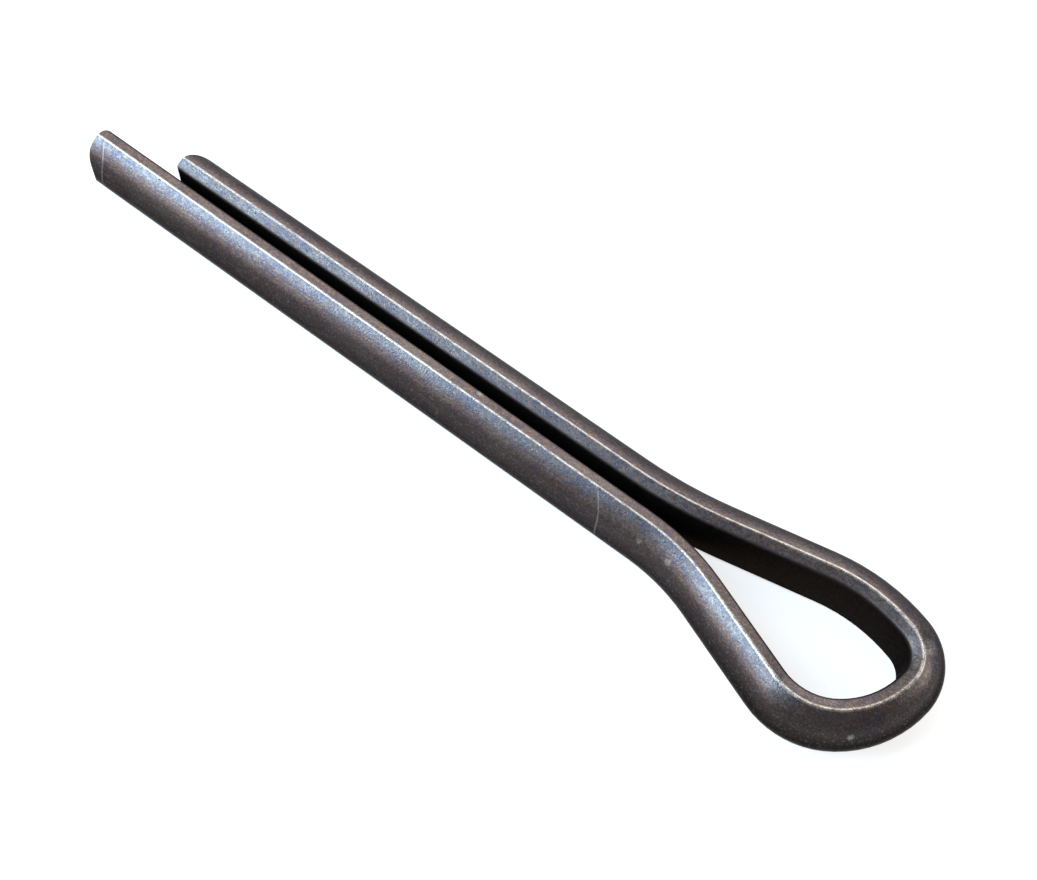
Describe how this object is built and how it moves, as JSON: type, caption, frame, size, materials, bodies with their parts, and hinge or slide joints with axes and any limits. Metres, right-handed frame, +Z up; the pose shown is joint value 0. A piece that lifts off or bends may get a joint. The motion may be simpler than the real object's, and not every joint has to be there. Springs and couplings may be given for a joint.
{
  "type": "cotter pin",
  "caption": "Split cotter pin of half-round steel wire with a long lopsided teardrop eye and one leg longer than the other, darkened and lightly worn.",
  "frame": {"origin": "middle of the pin's footprint, on the surface that it lies on", "axes": "+X along the legs towards the eye, +Y from the long leg to the short leg, +Z up, out of the side it lies on"},
  "size_m": [0.0992, 0.018, 0.0074],
  "materials": {
    "dark_steel": "dark oxidised satin steel with fine grain and light scratches"
  },
  "bodies": {
    "root": {"cotter_pin": "dark_steel"}
  },
  "joints": []
}
